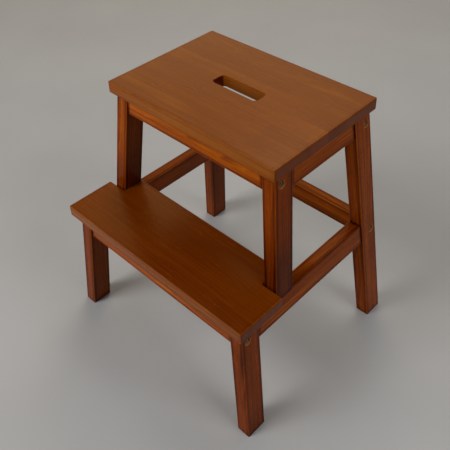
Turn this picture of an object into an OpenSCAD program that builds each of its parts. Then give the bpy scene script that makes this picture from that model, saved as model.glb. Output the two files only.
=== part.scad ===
// Two-step wooden step stool: a seat panel and a T-shaped tread on two splayed
// side frames. Z = 0 is the floor, X runs across the stool (left is -X), and
// the tread faces -Y. The origin is the bottom centre of the bounding box.

/* [Overall] */
// Height of the seat's top face above the floor
seat_height = 500; // [480:1:530]
// Outward lean of the two side frames, in degrees
splay = 6.1; // [5:0.1:7]
// Thickness of the seat and tread panels
panel_t = 22.5; // [20:0.5:26]

/* [Seat] */
// Width of the seat panel
seat_width = 380; // [370:1:410]
// Depth of the seat panel
seat_depth = 258; // [250:1:270]
// Plan radius of the panel corners
corner_r = 2.5; // [2:0.5:8]
// Overall length of the hand slot
slot_length = 100; // [90:1:120]
// Width of the hand slot
slot_width = 28; // [24:1:34]
// Plan radius of the hand slot's corners
slot_r = 7; // [4:0.5:11]
// Distance of the slot's centre behind the middle of the seat
slot_back = 4; // [0:0.5:8]
// Distance of the slot's centre left of the middle of the seat
slot_left = 2.5; // [0:0.5:5]
// Overhang of the seat past the legs at each side
side_overhang = 7.7; // [6:0.1:10]
// Overhang of the seat in front of the upper front legs
front_overhang = 11; // [8:0.5:14]
// Overhang of the seat behind the back legs
rear_overhang = 6.5; // [4:0.5:9]

/* [Legs] */
// Width of a leg, across the stool
leg_w = 27; // [25:0.5:29]
// Depth of a leg, front to back
leg_d = 41; // [38:0.5:43]
// Forward lean of the upper front legs, in degrees
upper_lean = 5.1; // [4:0.1:6]
// Rearward lean of the back legs, in degrees
back_lean = 4.7; // [4:0.1:6]
// Forward lean of the lower front legs, in degrees
lower_lean = 3.4; // [2.5:0.1:4.5]
// Bevel on the long edges of legs and rails
bevel = 1.6; // [1:0.2:2.4]

/* [Tread] */
// Height of the tread's top face above the floor
tread_height = 266; // [256:1:276]
// Width of the tread
tread_width = 440; // [436:1:450]
// Distance of the tread's front edge in front of the seat's front edge
tread_reach = 109; // [104:1:116]
// Overhang of the tread in front of the lower front legs
tread_overhang = 14.5; // [12:0.5:18]

/* [Rails and aprons] */
// Thickness of the side rails
rail_t = 23; // [20:0.5:23]
// Set-back of the side rails from the outer faces of the legs
rail_inset = 3; // [2:0.5:3.5]
// Height of the lower side rails and of the step apron
lower_rail_h = 43.5; // [40:0.5:46]
// Height of the top side rails
top_rail_h = 41; // [38:0.5:43]
// Thickness of the aprons and the stretcher
apron_t = 21; // [20:0.5:23]
// Height of the front apron and the rear stretcher
apron_h = 38; // [36:0.5:40]
// Set-back of the aprons from the faces of the legs
apron_inset = 2.5; // [2:0.5:3]

/* [Fasteners] */
// Diameter of a bolt shank
bolt_d = 6; // [5:0.5:6.5]
// Diameter of a bolt head
head_d = 11.5; // [10:0.5:12]
// Thickness of a bolt head
head_t = 2.5; // [2.5:0.5:4]
// Depth of a counterbore in a leg
sink_depth = 6; // [5:0.5:7]
// Hexagon socket size across flats
hex_af = 5; // [4:0.5:5]
// Diameter of a barrel nut
barrel_d = 10; // [9:0.5:11]
// Diameter of a dowel
dowel_d = 8; // [6:1:8]

/* [Hidden] */
$fn = 48;

seat_z = seat_height - panel_t;         // underside of the seat
tread_z = tread_height - panel_t;       // underside of the tread
hinge_x = seat_width/2 - side_overhang; // leg's outer face at seat_z
ts = tan(splay);
cs = cos(splay);
fit = 0.1;                              // radial clearance of holes
rail_top = tread_z;
rail_bot = tread_z - lower_rail_h;
top_rail_bot = seat_z - top_rail_h;
stretcher_top = rail_top - 3.5;

// Depths are measured from the seat's rear edge, negative towards the front.
function slope(a) = tan(a)/cs;
function y_upper(z) = -seat_depth + front_overhang - (seat_z - z)*slope(upper_lean);
function y_back(z) = -rear_overhang + (seat_z - z)*slope(back_lean);
y_lower_top = -(seat_depth + tread_reach) + tread_overhang;
function y_lower(z) = y_lower_top - (tread_z - z)*slope(lower_lean);
// Distance across the stool of a plane set back o from a leg's outer face
function x_out(z, o) = hinge_x + (seat_z - z)*ts - o/cs;

y_front_max = min(-(seat_depth + tread_reach), y_lower(0) + 0.02);
y_rear_max = y_back(0);
y_shift = -(y_front_max + y_rear_max)/2;

// Upper leg faces where the tread is notched round them
notch_y = y_upper(tread_z) - 0.6;
tongue_y = y_upper(tread_height) + leg_d/cos(upper_lean);
tongue_x = x_out(tread_height, leg_w) - 0.8;

// ---- shared shapes -------------------------------------------------------
module slab(z0, z1) {
    translate([-400, -500, z0]) cube([800, 1000, z1 - z0]);
}

// Puts a shape drawn against the plane of a side frame on that side:
// x = 0 is the leg's outer face, z = 0 is the underside of the seat.
module on_side(s) {
    mirror([s < 0 ? 1 : 0, 0, 0])
        translate([hinge_x, y_shift, seat_z])
            rotate([0, -splay, 0]) children();
}
module both_sides() { on_side(1) children(); on_side(-1) children(); }

module bevelled(w, d, c) {
    polygon([[-w + c, 0], [-c, 0], [0, c], [0, d - c],
             [-c, d], [-w + c, d], [-w, d - c], [-w, c]]);
}

// Frames of the three kinds of leg inside the side frame's plane
module at_upper() { translate([0, y_upper(seat_z), 0]) rotate([-upper_lean, 0, 0]) children(); }
module at_back() { translate([0, y_back(seat_z), 0]) rotate([back_lean, 0, 0]) translate([0, -leg_d, 0]) children(); }
module at_lower() { translate([0, y_lower_top, (tread_z - seat_z)/cs]) rotate([-lower_lean, 0, 0]) children(); }

module leg_stock(len) {
    translate([0, 0, -len]) linear_extrude(height = len + 30) bevelled(leg_w, leg_d, bevel);
}
// Half spaces that trim a rail against the rear or front face of a leg
module ahead_of() { translate([-200, leg_d - 400, -700]) cube([400, 400, 1400]); }
module behind_of() { translate([-200, 0, -700]) cube([400, 400, 1400]); }

// Bar of a side frame, running along Y, flat on top and underneath
module rail_stock(s, y0, y1, z0, z1) {
    c = bevel;
    i = rail_inset;
    o = rail_inset + rail_t;
    mirror([s < 0 ? 1 : 0, 0, 0])
        translate([0, y1 + y_shift, 0]) rotate([90, 0, 0])
            linear_extrude(height = y1 - y0)
                polygon([[x_out(z0, o) + c, z0], [x_out(z0, i) - c, z0],
                         [x_out(z0 + c, i), z0 + c], [x_out(z1 - c, i), z1 - c],
                         [x_out(z1, i) - c, z1], [x_out(z1, o) + c, z1],
                         [x_out(z1 - c, o), z1 - c], [x_out(z0 + c, o), z0 + c]]);
}

// Bar across the stool between the two inner leg faces
module cross_stock(y0, z0, h) {
    c = bevel;
    difference() {
        translate([-230, y0 + y_shift, z0]) rotate([90, 0, 90])
            linear_extrude(height = 460)
                polygon([[c, 0], [apron_t - c, 0], [apron_t, c], [apron_t, h - c],
                         [apron_t - c, h], [c, h], [0, h - c], [0, c]]);
        both_sides() translate([-leg_w, -600, -700]) cube([300, 1200, 1000]);
    }
}

module panel(x0, x1, y0, y1, t, r) {
    linear_extrude(height = t) union() {
        translate([x0 + r, y0]) square([x1 - x0 - 2*r, y1 - y0]);
        translate([x0, y0 + r]) square([x1 - x0, y1 - y0 - 2*r]);
        for (x = [x0 + r, x1 - r], y = [y0 + r, y1 - r]) translate([x, y]) circle(r);
    }
}

// ---- positions of the cross members ---------------------------------------
front_z = seat_z - apron_h;
rear_z = seat_z - top_rail_h;
step_z = rail_bot;
str_z = stretcher_top - apron_h;
front_y = y_upper(front_z + apron_h/2) + apron_inset;
rear_y = y_back(rear_z + top_rail_h/2) - apron_inset - apron_t;
step_y = y_lower(step_z) + 1.2 + lower_rail_h*slope(lower_lean);
str_y = y_back(str_z + apron_h/2) - apron_inset - apron_t - 1;

// Bolt axes: depth and height where they enter each member's end face
bolt_in = 26;                      // reach of a bolt into a cross member
bolt_up = 15;                      // height of a bolt above a member's underside
front_bolt_back = 2;               // the front apron's bolts lie behind the middle of its thickness
front_c = [front_y + apron_t/2 + front_bolt_back, front_z + bolt_up];
rear_c = [rear_y + apron_t/2, rear_z + bolt_up];
step_c = [step_y + apron_t/2, step_z + bolt_up];
str_c = [str_y + apron_t/2, str_z + bolt_up];

// Places a shape at a bolt: x = 0 is the leg's outer face, +X points outwards
module at_bolt(c, s) { on_side(s) translate([0, c[0], (c[1] - seat_z)/cs + leg_w*ts]) rotate([0, 90, 0]) children(); }
module at_bolts(c) { at_bolt(c, 1) children(); at_bolt(c, -1) children(); }

module bolt_hole() {
    translate([0, 0, -leg_w - bolt_in - 1]) cylinder(d = bolt_d + 2*fit, h = leg_w + bolt_in + 2);
    translate([0, 0, -sink_depth]) cylinder(d = head_d + 1.6, h = sink_depth + 5);
}
module bolt() {
    difference() {
        union() {
            translate([0, 0, -leg_w - bolt_in + 1]) cylinder(d = bolt_d, h = leg_w + bolt_in - sink_depth + 1);
            translate([0, 0, -sink_depth]) cylinder(d = head_d, h = head_t);
        }
        translate([0, 0, -sink_depth + head_t - 2.2]) cylinder(d = hex_af/cos(30), h = 5, $fn = 6);
    }
}
// Barrel nut lying along Y, with a cross hole on the bolt's axis
barrel_at = leg_w + bolt_in - 6;
barrel_l = 15;
module barrel_hole(open) {
    translate([0, 0, -barrel_at]) rotate([open > 0 ? -90 : 90, 0, 0])
        translate([0, 0, -barrel_l/2]) cylinder(d = barrel_d + 2*fit, h = barrel_l + 40);
}
module barrel() {
    difference() {
        translate([0, 0, -barrel_at]) rotate([90, 0, 0])
            translate([0, 0, -barrel_l/2]) cylinder(d = barrel_d, h = barrel_l);
        translate([0, 0, -barrel_at - 20]) cylinder(d = bolt_d + 2*fit, h = 40);
    }
}
// Dowel beside each bolt, half in the leg and half in the cross member
dowel_l = 30;
module dowel_hole(d, l, dz) {
    translate([-dz, 0, -leg_w - l/2 - 0.5]) cylinder(d = d, h = l + 1);
}
module dowel_pin(dz) {
    translate([-dz, 0, -leg_w - dowel_l/2]) cylinder(d = dowel_d, h = dowel_l);
}
dz_front = 15;
dz_rear = 15;
dz_step = 16;
dz_str = 15;

// Everything drilled through legs and cross members at one joint line
module joint_holes(c, dz, open) {
    at_bolts(c) {
        bolt_hole();
        barrel_hole(open);
        dowel_hole(dowel_d + 2*fit, dowel_l, dz);
    }
}
module leg_holes(c, dz, s) {
    at_bolt(c, s) { bolt_hole(); dowel_hole(dowel_d + 2*fit, dowel_l, dz); }
}

// ---- dowels inside a side frame -------------------------------------------
// They run along Y in the middle of the rail's thickness.
frame_dowel_d = dowel_d;
dowel_x = -(rail_inset + rail_t/2);
function vz(z) = (z - seat_z)/cs;
tr_z = [seat_z - 11, seat_z - 30];
lr_z = [rail_top - 12, rail_bot + 12];
module frame_dowels(extra, len) {
    d = dowel_d + 2*extra;
    for (z = tr_z) {
        translate([dowel_x, y_upper(z) + leg_d, vz(z)]) rotate([90, 0, 0]) translate([0, 0, -len/2]) cylinder(d = d, h = len);
        translate([dowel_x, y_back(z) - leg_d, vz(z)]) rotate([90, 0, 0]) translate([0, 0, -len/2]) cylinder(d = d, h = len);
    }
    for (z = lr_z) {
        translate([dowel_x, y_lower(z) + leg_d, vz(z)]) rotate([90, 0, 0]) translate([0, 0, -len/2]) cylinder(d = d, h = len);
        translate([dowel_x, y_back(z) - leg_d, vz(z)]) rotate([90, 0, 0]) translate([0, 0, -len/2]) cylinder(d = d, h = len);
    }
    // Foot of the upper front leg, standing on the lower rail
    for (dy = [13, 28])
        translate([dowel_x, y_upper(rail_top) + dy, vz(rail_top)]) translate([0, 0, -len/2]) cylinder(d = d, h = len);
}
module frame_holes(s) { on_side(s) frame_dowels(fit, dowel_l + 1); }

// ---- screws ----------------------------------------------------------------
screw_d = 4.5;
screw_head = 8.5;
screw_up = 12;     // reach into the panel
module screw_hole(h) {
    translate([0, 0, -h - 1]) cylinder(d = screw_head + 1, h = 9);
    translate([0, 0, -h]) cylinder(d = screw_d + 2*fit, h = h + screw_up + 0.5);
}
module screw(h) {
    difference() {
        union() {
            translate([0, 0, -h + 8]) cylinder(d = screw_d, h = h + screw_up - 8);
            translate([0, 0, -h + 8 - 3]) cylinder(d = screw_head, h = 3.2);
        }
        translate([0, 0, -h + 8 - 3 - 1]) cylinder(d = 3.4, h = 3, $fn = 6);
    }
}
seat_screw_x = 105;
tread_screw_x = 130;
module at_seat_front() { for (s = [-1, 1]) translate([s*seat_screw_x, front_y + apron_t/2 + y_shift, seat_z]) children(); }
module at_seat_rear() { for (s = [-1, 1]) translate([s*seat_screw_x, rear_c[0] + y_shift, seat_z]) children(); }
module at_step() { for (s = [-1, 1]) translate([s*tread_screw_x, step_c[0] + y_shift, tread_z]) children(); }
module at_rail() {
    for (s = [-1, 1]) translate([s*(x_out(tread_z, rail_inset + rail_t/2) + 2.3), notch_y - 22 + y_shift, tread_z]) children();
}

// ---- wooden pieces -----------------------------------------------------------
module seat_panel() {
    color([0.50, 0.31, 0.16]) difference() {
        translate([0, y_shift, seat_z])
            panel(-seat_width/2, seat_width/2, -seat_depth, 0, panel_t, corner_r);
        translate([-slot_left, y_shift - seat_depth/2 + slot_back, seat_z - 5])
            panel(-slot_length/2, slot_length/2, -slot_width/2, slot_width/2, panel_t + 10, slot_r);
        at_seat_front() screw_hole(apron_h);
        at_seat_rear() screw_hole(top_rail_h);
    }
}

module tread_panel() {
    color([0.45, 0.22, 0.08]) difference() {
        translate([0, y_shift, tread_z]) union() {
            panel(-tread_width/2, tread_width/2, -(seat_depth + tread_reach), notch_y, panel_t, corner_r);
            translate([-tongue_x, notch_y - 20, 0]) cube([2*tongue_x, tongue_y - notch_y + 20, panel_t]);
        }
        at_step() screw_hole(lower_rail_h);
        at_rail() screw_hole(lower_rail_h);
    }
}

module upper_front_leg(s) {
    color([0.52, 0.26, 0.08]) difference() {
        intersection() { on_side(s) at_upper() leg_stock(300); slab(rail_top, seat_z); }
        leg_holes(front_c, dz_front, s);
        frame_holes(s);
    }
}
module upper_front_leg_left() { upper_front_leg(-1); }
module upper_front_leg_right() { upper_front_leg(1); }

module lower_front_leg(s) {
    color([0.42, 0.22, 0.10]) difference() {
        intersection() { on_side(s) at_lower() leg_stock(320); slab(0, tread_z); }
        leg_holes(step_c, dz_step, s);
        frame_holes(s);
    }
}
module lower_front_leg_left() { lower_front_leg(-1); }
module lower_front_leg_right() { lower_front_leg(1); }

module back_leg(s) {
    color([0.36, 0.20, 0.12]) difference() {
        intersection() { on_side(s) at_back() leg_stock(560); slab(0, seat_z); }
        leg_holes(rear_c, dz_rear, s);
        leg_holes(str_c, dz_str, s);
        frame_holes(s);
    }
}
module back_leg_left() { back_leg(-1); }
module back_leg_right() { back_leg(1); }

module top_side_rail(s) {
    color([0.38, 0.21, 0.11]) difference() {
        rail_stock(s, y_upper(seat_z) - 10, y_back(seat_z) + 10, top_rail_bot, seat_z);
        on_side(s) at_upper() ahead_of();
        on_side(s) at_back() behind_of();
        frame_holes(s);
    }
}
module top_side_rail_left() { top_side_rail(-1); }
module top_side_rail_right() { top_side_rail(1); }

module lower_side_rail(s) {
    color([0.40, 0.21, 0.10]) difference() {
        rail_stock(s, y_lower_top - 20, y_back(rail_bot) + 20, rail_bot, rail_top);
        on_side(s) at_lower() ahead_of();
        on_side(s) at_back() behind_of();
        frame_holes(s);
        at_rail() screw_hole(lower_rail_h);
    }
}
module lower_side_rail_left() { lower_side_rail(-1); }
module lower_side_rail_right() { lower_side_rail(1); }

module front_apron() {
    color([0.60, 0.30, 0.06]) difference() {
        cross_stock(front_y, front_z, apron_h);
        joint_holes(front_c, dz_front, 1);
        at_seat_front() screw_hole(apron_h);
    }
}
module rear_apron() {
    color([0.40, 0.20, 0.08]) difference() {
        cross_stock(rear_y, rear_z, top_rail_h);
        joint_holes(rear_c, dz_rear, -1);
        at_seat_rear() screw_hole(top_rail_h);
    }
}
module step_apron() {
    color([0.60, 0.30, 0.08]) difference() {
        cross_stock(step_y, step_z, lower_rail_h);
        joint_holes(step_c, dz_step, 1);
        at_step() screw_hole(lower_rail_h);
    }
}
module rear_stretcher() {
    color([0.50, 0.22, 0.06]) difference() {
        cross_stock(str_y, str_z, apron_h);
        joint_holes(str_c, dz_str, 1);
    }
}

// ---- fasteners ------------------------------------------------------------------
module front_apron_bolts() { color([0.75, 0.73, 0.70]) at_bolts(front_c) bolt(); }
module rear_apron_bolts() { color([0.75, 0.73, 0.70]) at_bolts(rear_c) bolt(); }
module step_apron_bolts() { color([0.75, 0.73, 0.70]) at_bolts(step_c) bolt(); }
module rear_stretcher_bolts() { color([0.75, 0.73, 0.70]) at_bolts(str_c) bolt(); }

module front_apron_barrel_nuts() { color([0.70, 0.68, 0.64]) at_bolts(front_c) barrel(); }
module rear_apron_barrel_nuts() { color([0.70, 0.68, 0.64]) at_bolts(rear_c) barrel(); }
module step_apron_barrel_nuts() { color([0.70, 0.68, 0.64]) at_bolts(step_c) barrel(); }
module rear_stretcher_barrel_nuts() { color([0.70, 0.68, 0.64]) at_bolts(str_c) barrel(); }

module side_frame_dowels_left() { color([0.80, 0.66, 0.46]) on_side(-1) frame_dowels(0, dowel_l); }
module side_frame_dowels_right() { color([0.80, 0.66, 0.46]) on_side(1) frame_dowels(0, dowel_l); }
module apron_dowels() {
    color([0.80, 0.66, 0.46]) {
        at_bolts(front_c) dowel_pin(dz_front);
        at_bolts(rear_c) dowel_pin(dz_rear);
        at_bolts(step_c) dowel_pin(dz_step);
        at_bolts(str_c) dowel_pin(dz_str);
    }
}

module seat_screws() {
    color([0.72, 0.70, 0.66]) { at_seat_front() screw(apron_h); at_seat_rear() screw(top_rail_h); }
}
module tread_screws() {
    color([0.72, 0.70, 0.66]) { at_step() screw(lower_rail_h); at_rail() screw(lower_rail_h); }
}

seat_panel();
tread_panel();
upper_front_leg_left();
upper_front_leg_right();
lower_front_leg_left();
lower_front_leg_right();
back_leg_left();
back_leg_right();
top_side_rail_left();
top_side_rail_right();
lower_side_rail_left();
lower_side_rail_right();
front_apron();
rear_apron();
step_apron();
rear_stretcher();
front_apron_bolts();
rear_apron_bolts();
step_apron_bolts();
rear_stretcher_bolts();
front_apron_barrel_nuts();
rear_apron_barrel_nuts();
step_apron_barrel_nuts();
rear_stretcher_barrel_nuts();
side_frame_dowels_left();
side_frame_dowels_right();
apron_dowels();
seat_screws();
tread_screws();
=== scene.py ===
import math
import random

import bmesh
import bpy
from mathutils import Matrix, Vector


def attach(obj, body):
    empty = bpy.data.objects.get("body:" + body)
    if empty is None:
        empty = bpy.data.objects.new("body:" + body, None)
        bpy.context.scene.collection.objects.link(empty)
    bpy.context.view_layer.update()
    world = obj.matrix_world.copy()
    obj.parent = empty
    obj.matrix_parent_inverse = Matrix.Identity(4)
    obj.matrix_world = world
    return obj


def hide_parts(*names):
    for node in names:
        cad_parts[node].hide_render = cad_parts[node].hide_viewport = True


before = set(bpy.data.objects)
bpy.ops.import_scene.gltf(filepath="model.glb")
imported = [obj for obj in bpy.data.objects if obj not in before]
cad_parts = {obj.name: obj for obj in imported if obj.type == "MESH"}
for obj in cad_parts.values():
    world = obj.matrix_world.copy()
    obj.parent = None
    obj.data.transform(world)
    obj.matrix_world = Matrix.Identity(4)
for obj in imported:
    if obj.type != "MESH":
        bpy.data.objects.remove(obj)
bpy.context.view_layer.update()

rnd = random.Random(41)
rad = math.radians

# ---------------------------------------------------------------- dimensions
# Millimetres, the same figures and the same construction as the CAD model.
SEAT_H, SPLAY, PANEL_T = 500.0, rad(6.1), 22.5
SEAT_W, SEAT_D, CORNER_R = 380.0, 258.0, 2.5
SLOT_L, SLOT_W, SLOT_R, SLOT_BACK, SLOT_LEFT = 100.0, 28.0, 7.0, 4.0, 2.5
OV_SIDE, OV_FRONT, OV_REAR = 7.7, 11.0, 6.5
LEG_W, LEG_D = 27.0, 41.0
LEAN_U, LEAN_B, LEAN_L = rad(5.1), rad(4.7), rad(3.4)
TREAD_H, TREAD_W, REACH, OV_TREAD = 266.0, 440.0, 109.0, 14.5
RAIL_T, RAIL_IN, LOWER_H, TOP_H = 23.0, 3.0, 43.5, 41.0
APRON_T, APRON_H, APRON_IN = 21.0, 38.0, 2.5
BOLT_D, HEAD_D, HEAD_T, SINK, HEX = 6.0, 11.5, 2.5, 6.0, 5.0
BARREL_D, BARREL_L, DOWEL_D, DOWEL_L = 10.0, 15.0, 8.0, 30.0
SCREW_D, SCREW_HEAD, SCREW_UP = 4.5, 8.5, 12.0
FIT = 0.1
BOLT_IN = 26.0
BARREL_AT = LEG_W + BOLT_IN - 6
ARRIS = 1.9

SEAT_Z = SEAT_H - PANEL_T
TREAD_Z = TREAD_H - PANEL_T
HINGE_X = SEAT_W / 2 - OV_SIDE
TS, CS = math.tan(SPLAY), math.cos(SPLAY)
RAIL_TOP, RAIL_BOT = TREAD_Z, TREAD_Z - LOWER_H


def slope(a):
    return math.tan(a) / CS


def y_upper(z):
    return -SEAT_D + OV_FRONT - (SEAT_Z - z) * slope(LEAN_U)


def y_back(z):
    return -OV_REAR + (SEAT_Z - z) * slope(LEAN_B)


Y_LT = -(SEAT_D + REACH) + OV_TREAD


def y_lower(z):
    return Y_LT - (TREAD_Z - z) * slope(LEAN_L)


def x_out(z, o):
    return HINGE_X + (SEAT_Z - z) * TS - o / CS


YS = -(min(-(SEAT_D + REACH), y_lower(0) + 0.02) + y_back(0)) / 2
NOTCH_Y = y_upper(TREAD_Z) - 0.6
TONGUE_Y = y_upper(TREAD_H) + LEG_D / math.cos(LEAN_U)
TONGUE_X = x_out(TREAD_H, LEG_W) - 0.8

FRONT_Z, REAR_Z, STEP_Z = SEAT_Z - APRON_H, SEAT_Z - TOP_H, RAIL_BOT
STR_Z = RAIL_TOP - 3.5 - APRON_H
FRONT_Y = y_upper(FRONT_Z + APRON_H / 2) + APRON_IN
REAR_Y = y_back(REAR_Z + TOP_H / 2) - APRON_IN - APRON_T
STEP_Y = y_lower(STEP_Z) + 1.2 + LOWER_H * slope(LEAN_L)
STR_Y = y_back(STR_Z + APRON_H / 2) - APRON_IN - APRON_T - 1
JOINTS = {  # depth and height of each bolt at the leg's inner face, dowel offset, side the nut is put in from
    "front_apron": (FRONT_Y + APRON_T / 2 + 2, FRONT_Z + 15, 15, 1),
    "rear_apron": (REAR_Y + APRON_T / 2, REAR_Z + 15, 15, -1),
    "step_apron": (STEP_Y + APRON_T / 2, STEP_Z + 15, 16, 1),
    "rear_stretcher": (STR_Y + APRON_T / 2, STR_Z + 15, 15, 1),
}

T, R = Matrix.Translation, Matrix.Rotation
SIDE = T((HINGE_X, YS, SEAT_Z)) @ R(-SPLAY, 4, "Y")
AT_UPPER = SIDE @ T((0, y_upper(SEAT_Z), 0)) @ R(-LEAN_U, 4, "X")
AT_BACK = SIDE @ T((0, y_back(SEAT_Z), 0)) @ R(LEAN_B, 4, "X") @ T((0, -LEG_D, 0))
AT_LOWER = SIDE @ T((0, Y_LT, (TREAD_Z - SEAT_Z) / CS)) @ R(-LEAN_L, 4, "X")
MIRROR = Matrix.Diagonal((-1, 1, 1, 1))


def on(s, m):
    return m if s > 0 else MIRROR @ m


def at_bolt(joint, s):
    y, z = JOINTS[joint][:2]
    return on(s, SIDE @ T((0, y, (z - SEAT_Z) / CS + LEG_W * TS)) @ R(rad(90), 4, "Y"))


# ---------------------------------------------------------------- mesh tools
def new_object(name, bm):
    me = bpy.data.meshes.new(name)
    bm.to_mesh(me)
    bm.free()
    ob = bpy.data.objects.new(name, me)
    bpy.context.scene.collection.objects.link(ob)
    return ob


def lathe(bm, profile, m, seg=32):
    """A closed turned solid: profile is [(radius, height)], from one pole to the other, about the local Z axis of m."""
    rings = []
    for r, z in profile:
        if r == 0:
            rings.append([bm.verts.new(m @ Vector((0, 0, z)))])
        else:
            rings.append([bm.verts.new(m @ Vector((r * math.cos(2 * math.pi * i / seg), r * math.sin(2 * math.pi * i / seg), z))) for i in range(seg)])
    made = []
    for a, b in zip(rings, rings[1:]):
        for i in range(seg):
            j = (i + 1) % seg
            if len(a) == 1:
                made.append(bm.faces.new((a[0], b[i], b[j])))
            elif len(b) == 1:
                made.append(bm.faces.new((a[i], a[j], b[0])))
            else:
                made.append(bm.faces.new((a[i], a[j], b[j], b[i])))
    bmesh.ops.recalc_face_normals(bm, faces=made)
    return made


def rod(bm, d, z0, z1, m, seg=32):
    return lathe(bm, [(0, z0), (d / 2, z0), (d / 2, z1), (0, z1)], m, seg)


def cut(ob, cutter_bm):
    """Takes the cutters' solids out of the piece."""
    if not cutter_bm.faces:
        cutter_bm.free()
        return ob
    c = new_object("cutter", cutter_bm)
    mod = ob.modifiers.new("cut", "BOOLEAN")
    mod.operation, mod.solver, mod.object, mod.use_self = "DIFFERENCE", "EXACT", c, True
    deps = bpy.context.evaluated_depsgraph_get()
    me = bpy.data.meshes.new_from_object(ob.evaluated_get(deps))
    ob.modifiers.clear()
    old, ob.data = ob.data, me
    bpy.data.meshes.remove(old)
    bpy.data.objects.remove(c)
    return ob


def bar_mesh(ring0, ring1, r_long, r_end):
    """A bar between two four-cornered ends, with rounded long edges and eased ends."""
    bm = bmesh.new()
    a = [bm.verts.new(p) for p in ring0]
    b = [bm.verts.new(p) for p in ring1]
    bm.faces.new(a)
    bm.faces.new(list(reversed(b)))
    long_edges = []
    for i in range(4):
        j = (i + 1) % 4
        f = bm.faces.new((a[i], b[i], b[j], a[j]))
    bm.edges.ensure_lookup_table()
    for i in range(4):
        long_edges.append(bm.edges.get((a[i], b[i])))
    bmesh.ops.recalc_face_normals(bm, faces=bm.faces)
    bmesh.ops.bevel(bm, geom=long_edges, offset=r_long, offset_type="OFFSET", segments=5, profile=0.5, affect="EDGES", clamp_overlap=True)
    # The two end faces are now the ones with the most corners.
    ends = sorted(bm.faces, key=lambda f: -len(f.verts))[:2]
    rim = list({e for f in ends for e in f.edges})
    bmesh.ops.bevel(bm, geom=rim, offset=r_end, offset_type="OFFSET", segments=2, profile=0.5, affect="EDGES", clamp_overlap=True)
    return bm


def at_height(m, x, y, z):
    """Where the line through (x, y, .) of the frame m meets a height."""
    p = m @ Vector((x, y, 0))
    d = m.to_3x3() @ Vector((0, 0, 1))
    return p + d * ((z - p.z) / d.z)


def corner_arc(prev, at, nxt, r, inset, n):
    """Points round one corner of a closed outline that runs anticlockwise, moved inwards by inset."""
    d0 = (at - prev).normalized()
    d1 = (nxt - at).normalized()
    turn = math.atan2(d0.x * d1.y - d0.y * d1.x, d0.dot(d1))
    convex = turn > 0
    n0 = Vector((-d0.y, d0.x)) * (1 if convex else -1)
    tan = r * math.tan(abs(turn) / 2)
    c = at - d0 * tan + n0 * r
    rr = r - inset if convex else r + inset
    a0 = math.atan2(-n0.y, -n0.x)
    return [c + Vector((math.cos(a0 + turn * k / n), math.sin(a0 + turn * k / n))) * rr for k in range(n + 1)]


def outline(corners, radii, inset, n=6):
    pts = []
    m = len(corners)
    for i in range(m):
        pts += corner_arc(corners[i - 1], corners[i], corners[(i + 1) % m], radii[i], inset, n)
    return pts


def panel_mesh(corners, radii, z0, z1, r, hole=None):
    """A panel with rounded arrises, and a hole whose arrises are rounded too. hole is (corners, radii)."""
    bm = bmesh.new()
    steps = 5

    def levels():
        for k in range(steps + 1):
            a = math.pi / 2 * k / steps
            yield r * (1 - math.sin(a)), z0 + r * (1 - math.cos(a))
        for k in range(steps + 1):
            a = math.pi / 2 * k / steps
            yield r * (1 - math.cos(a)), z1 - r * (1 - math.sin(a))

    def wall(cs, rs, sign):
        rings = []
        for inset, z in levels():
            rings.append([bm.verts.new((p.x, p.y, z)) for p in outline(cs, rs, sign * inset)])
        for a, b in zip(rings, rings[1:]):
            m = len(a)
            for i in range(m):
                j = (i + 1) % m
                bm.faces.new((a[i], a[j], b[j], b[i]))
        return rings[0], rings[-1]

    lo, hi = wall(corners, radii, 1)
    if hole:
        hlo, hhi = wall(hole[0], hole[1], -1)
        for outer, inner in ((lo, hlo), (hi, hhi)):
            edges = [bm.edges.get((outer[i], outer[(i + 1) % len(outer)])) for i in range(len(outer))]
            edges += [bm.edges.get((inner[i], inner[(i + 1) % len(inner)])) for i in range(len(inner))]
            bmesh.ops.triangle_fill(bm, use_beauty=True, use_dissolve=False, edges=edges)
    else:
        bm.faces.new(lo)
        bm.faces.new(hi)
    bmesh.ops.recalc_face_normals(bm, faces=bm.faces)
    return bm


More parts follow.
